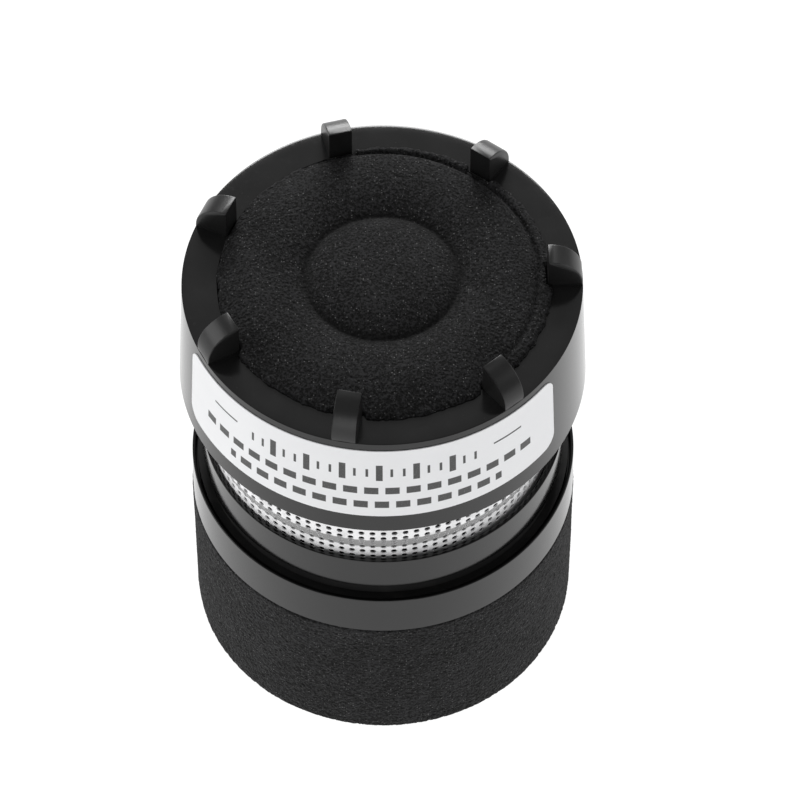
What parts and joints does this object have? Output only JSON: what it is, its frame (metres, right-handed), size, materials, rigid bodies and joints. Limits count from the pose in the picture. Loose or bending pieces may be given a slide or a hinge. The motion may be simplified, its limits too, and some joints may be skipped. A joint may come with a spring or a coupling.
{
  "type": "dynamic microphone capsule",
  "caption": "Moving-coil microphone capsule with a clawed front cap, foam front disc, perforated side ports, rubber-hung transducer, mounting ring and foam-sleeved rear cup.",
  "frame": {"origin": "centre of the foam sleeve's lower end, the face that the capsule stands on", "axes": "+Z along the capsule's axis towards the front that faces the sound, -Y roughly towards the middle of the label, +X along the line of the two terminals"},
  "size_m": [0.0338, 0.0338, 0.0452],
  "materials": {
    "cap_plastic": "satin-gloss moulded black plastic",
    "housing_plastic": "satin moulded black plastic",
    "ring_plastic": "satin moulded black plastic",
    "foam": "fine open-cell black foam",
    "cloth": "thin woven acoustic cloth",
    "label": "satin white film label",
    "brass_ring": "turned brass",
    "film": "thin translucent polyester film",
    "copper_wire": "enamelled copper winding",
    "plated_steel": "zinc-plated soft steel",
    "magnet": "nickel-plated sintered magnet",
    "felt": "thin pressed felt",
    "screen_metal": "bright plated perforated sheet",
    "rubber": "soft black rubber",
    "board": "brown phenolic laminate",
    "terminal_metal": "tinned brass",
    "lead_red": "red wire insulation",
    "lead_black": "black wire insulation"
  },
  "bodies": {
    "rear": {"mounting_ring": "ring_plastic", "shock_mount": "rubber", "rear_cup": "housing_plastic", "foam_sleeve": "foam", "terminal_board": "board", "terminal_plus": "terminal_metal", "terminal_minus": "terminal_metal", "lead_plus": "lead_red", "lead_minus": "lead_black"},
    "transducer": {"front_cap": "cap_plastic", "front_foam": "foam", "acoustic_cloth": "cloth", "cap_label": "label", "resonator_plate": "housing_plastic", "diaphragm_ring": "brass_ring", "diaphragm": "film", "pole_plate": "plated_steel", "pole_piece": "plated_steel", "magnet": "magnet", "magnet_pot": "plated_steel", "damping_felt": "felt", "transducer_housing": "housing_plastic", "port_cloth": "cloth", "port_screen": "screen_metal", "collar": "ring_plastic", "rear_felt": "felt"},
    "coil": {"voice_coil": "copper_wire"}
  },
  "joints": [
    {"name": "shock_travel", "type": "slide", "parent": "rear", "child": "transducer", "axis": [0, 0, 1], "range_m": [-0.0004, 0.0004], "stiffness_N_per_m": 3000, "deforming": ["shock_mount", "lead_plus", "lead_minus"]},
    {"name": "coil_travel", "type": "slide", "parent": "transducer", "child": "coil", "axis": [0, 0, 1], "range_m": [-0.00025, 0.00025], "stiffness_N_per_m": 330, "deforming": ["diaphragm"]}
  ]
}
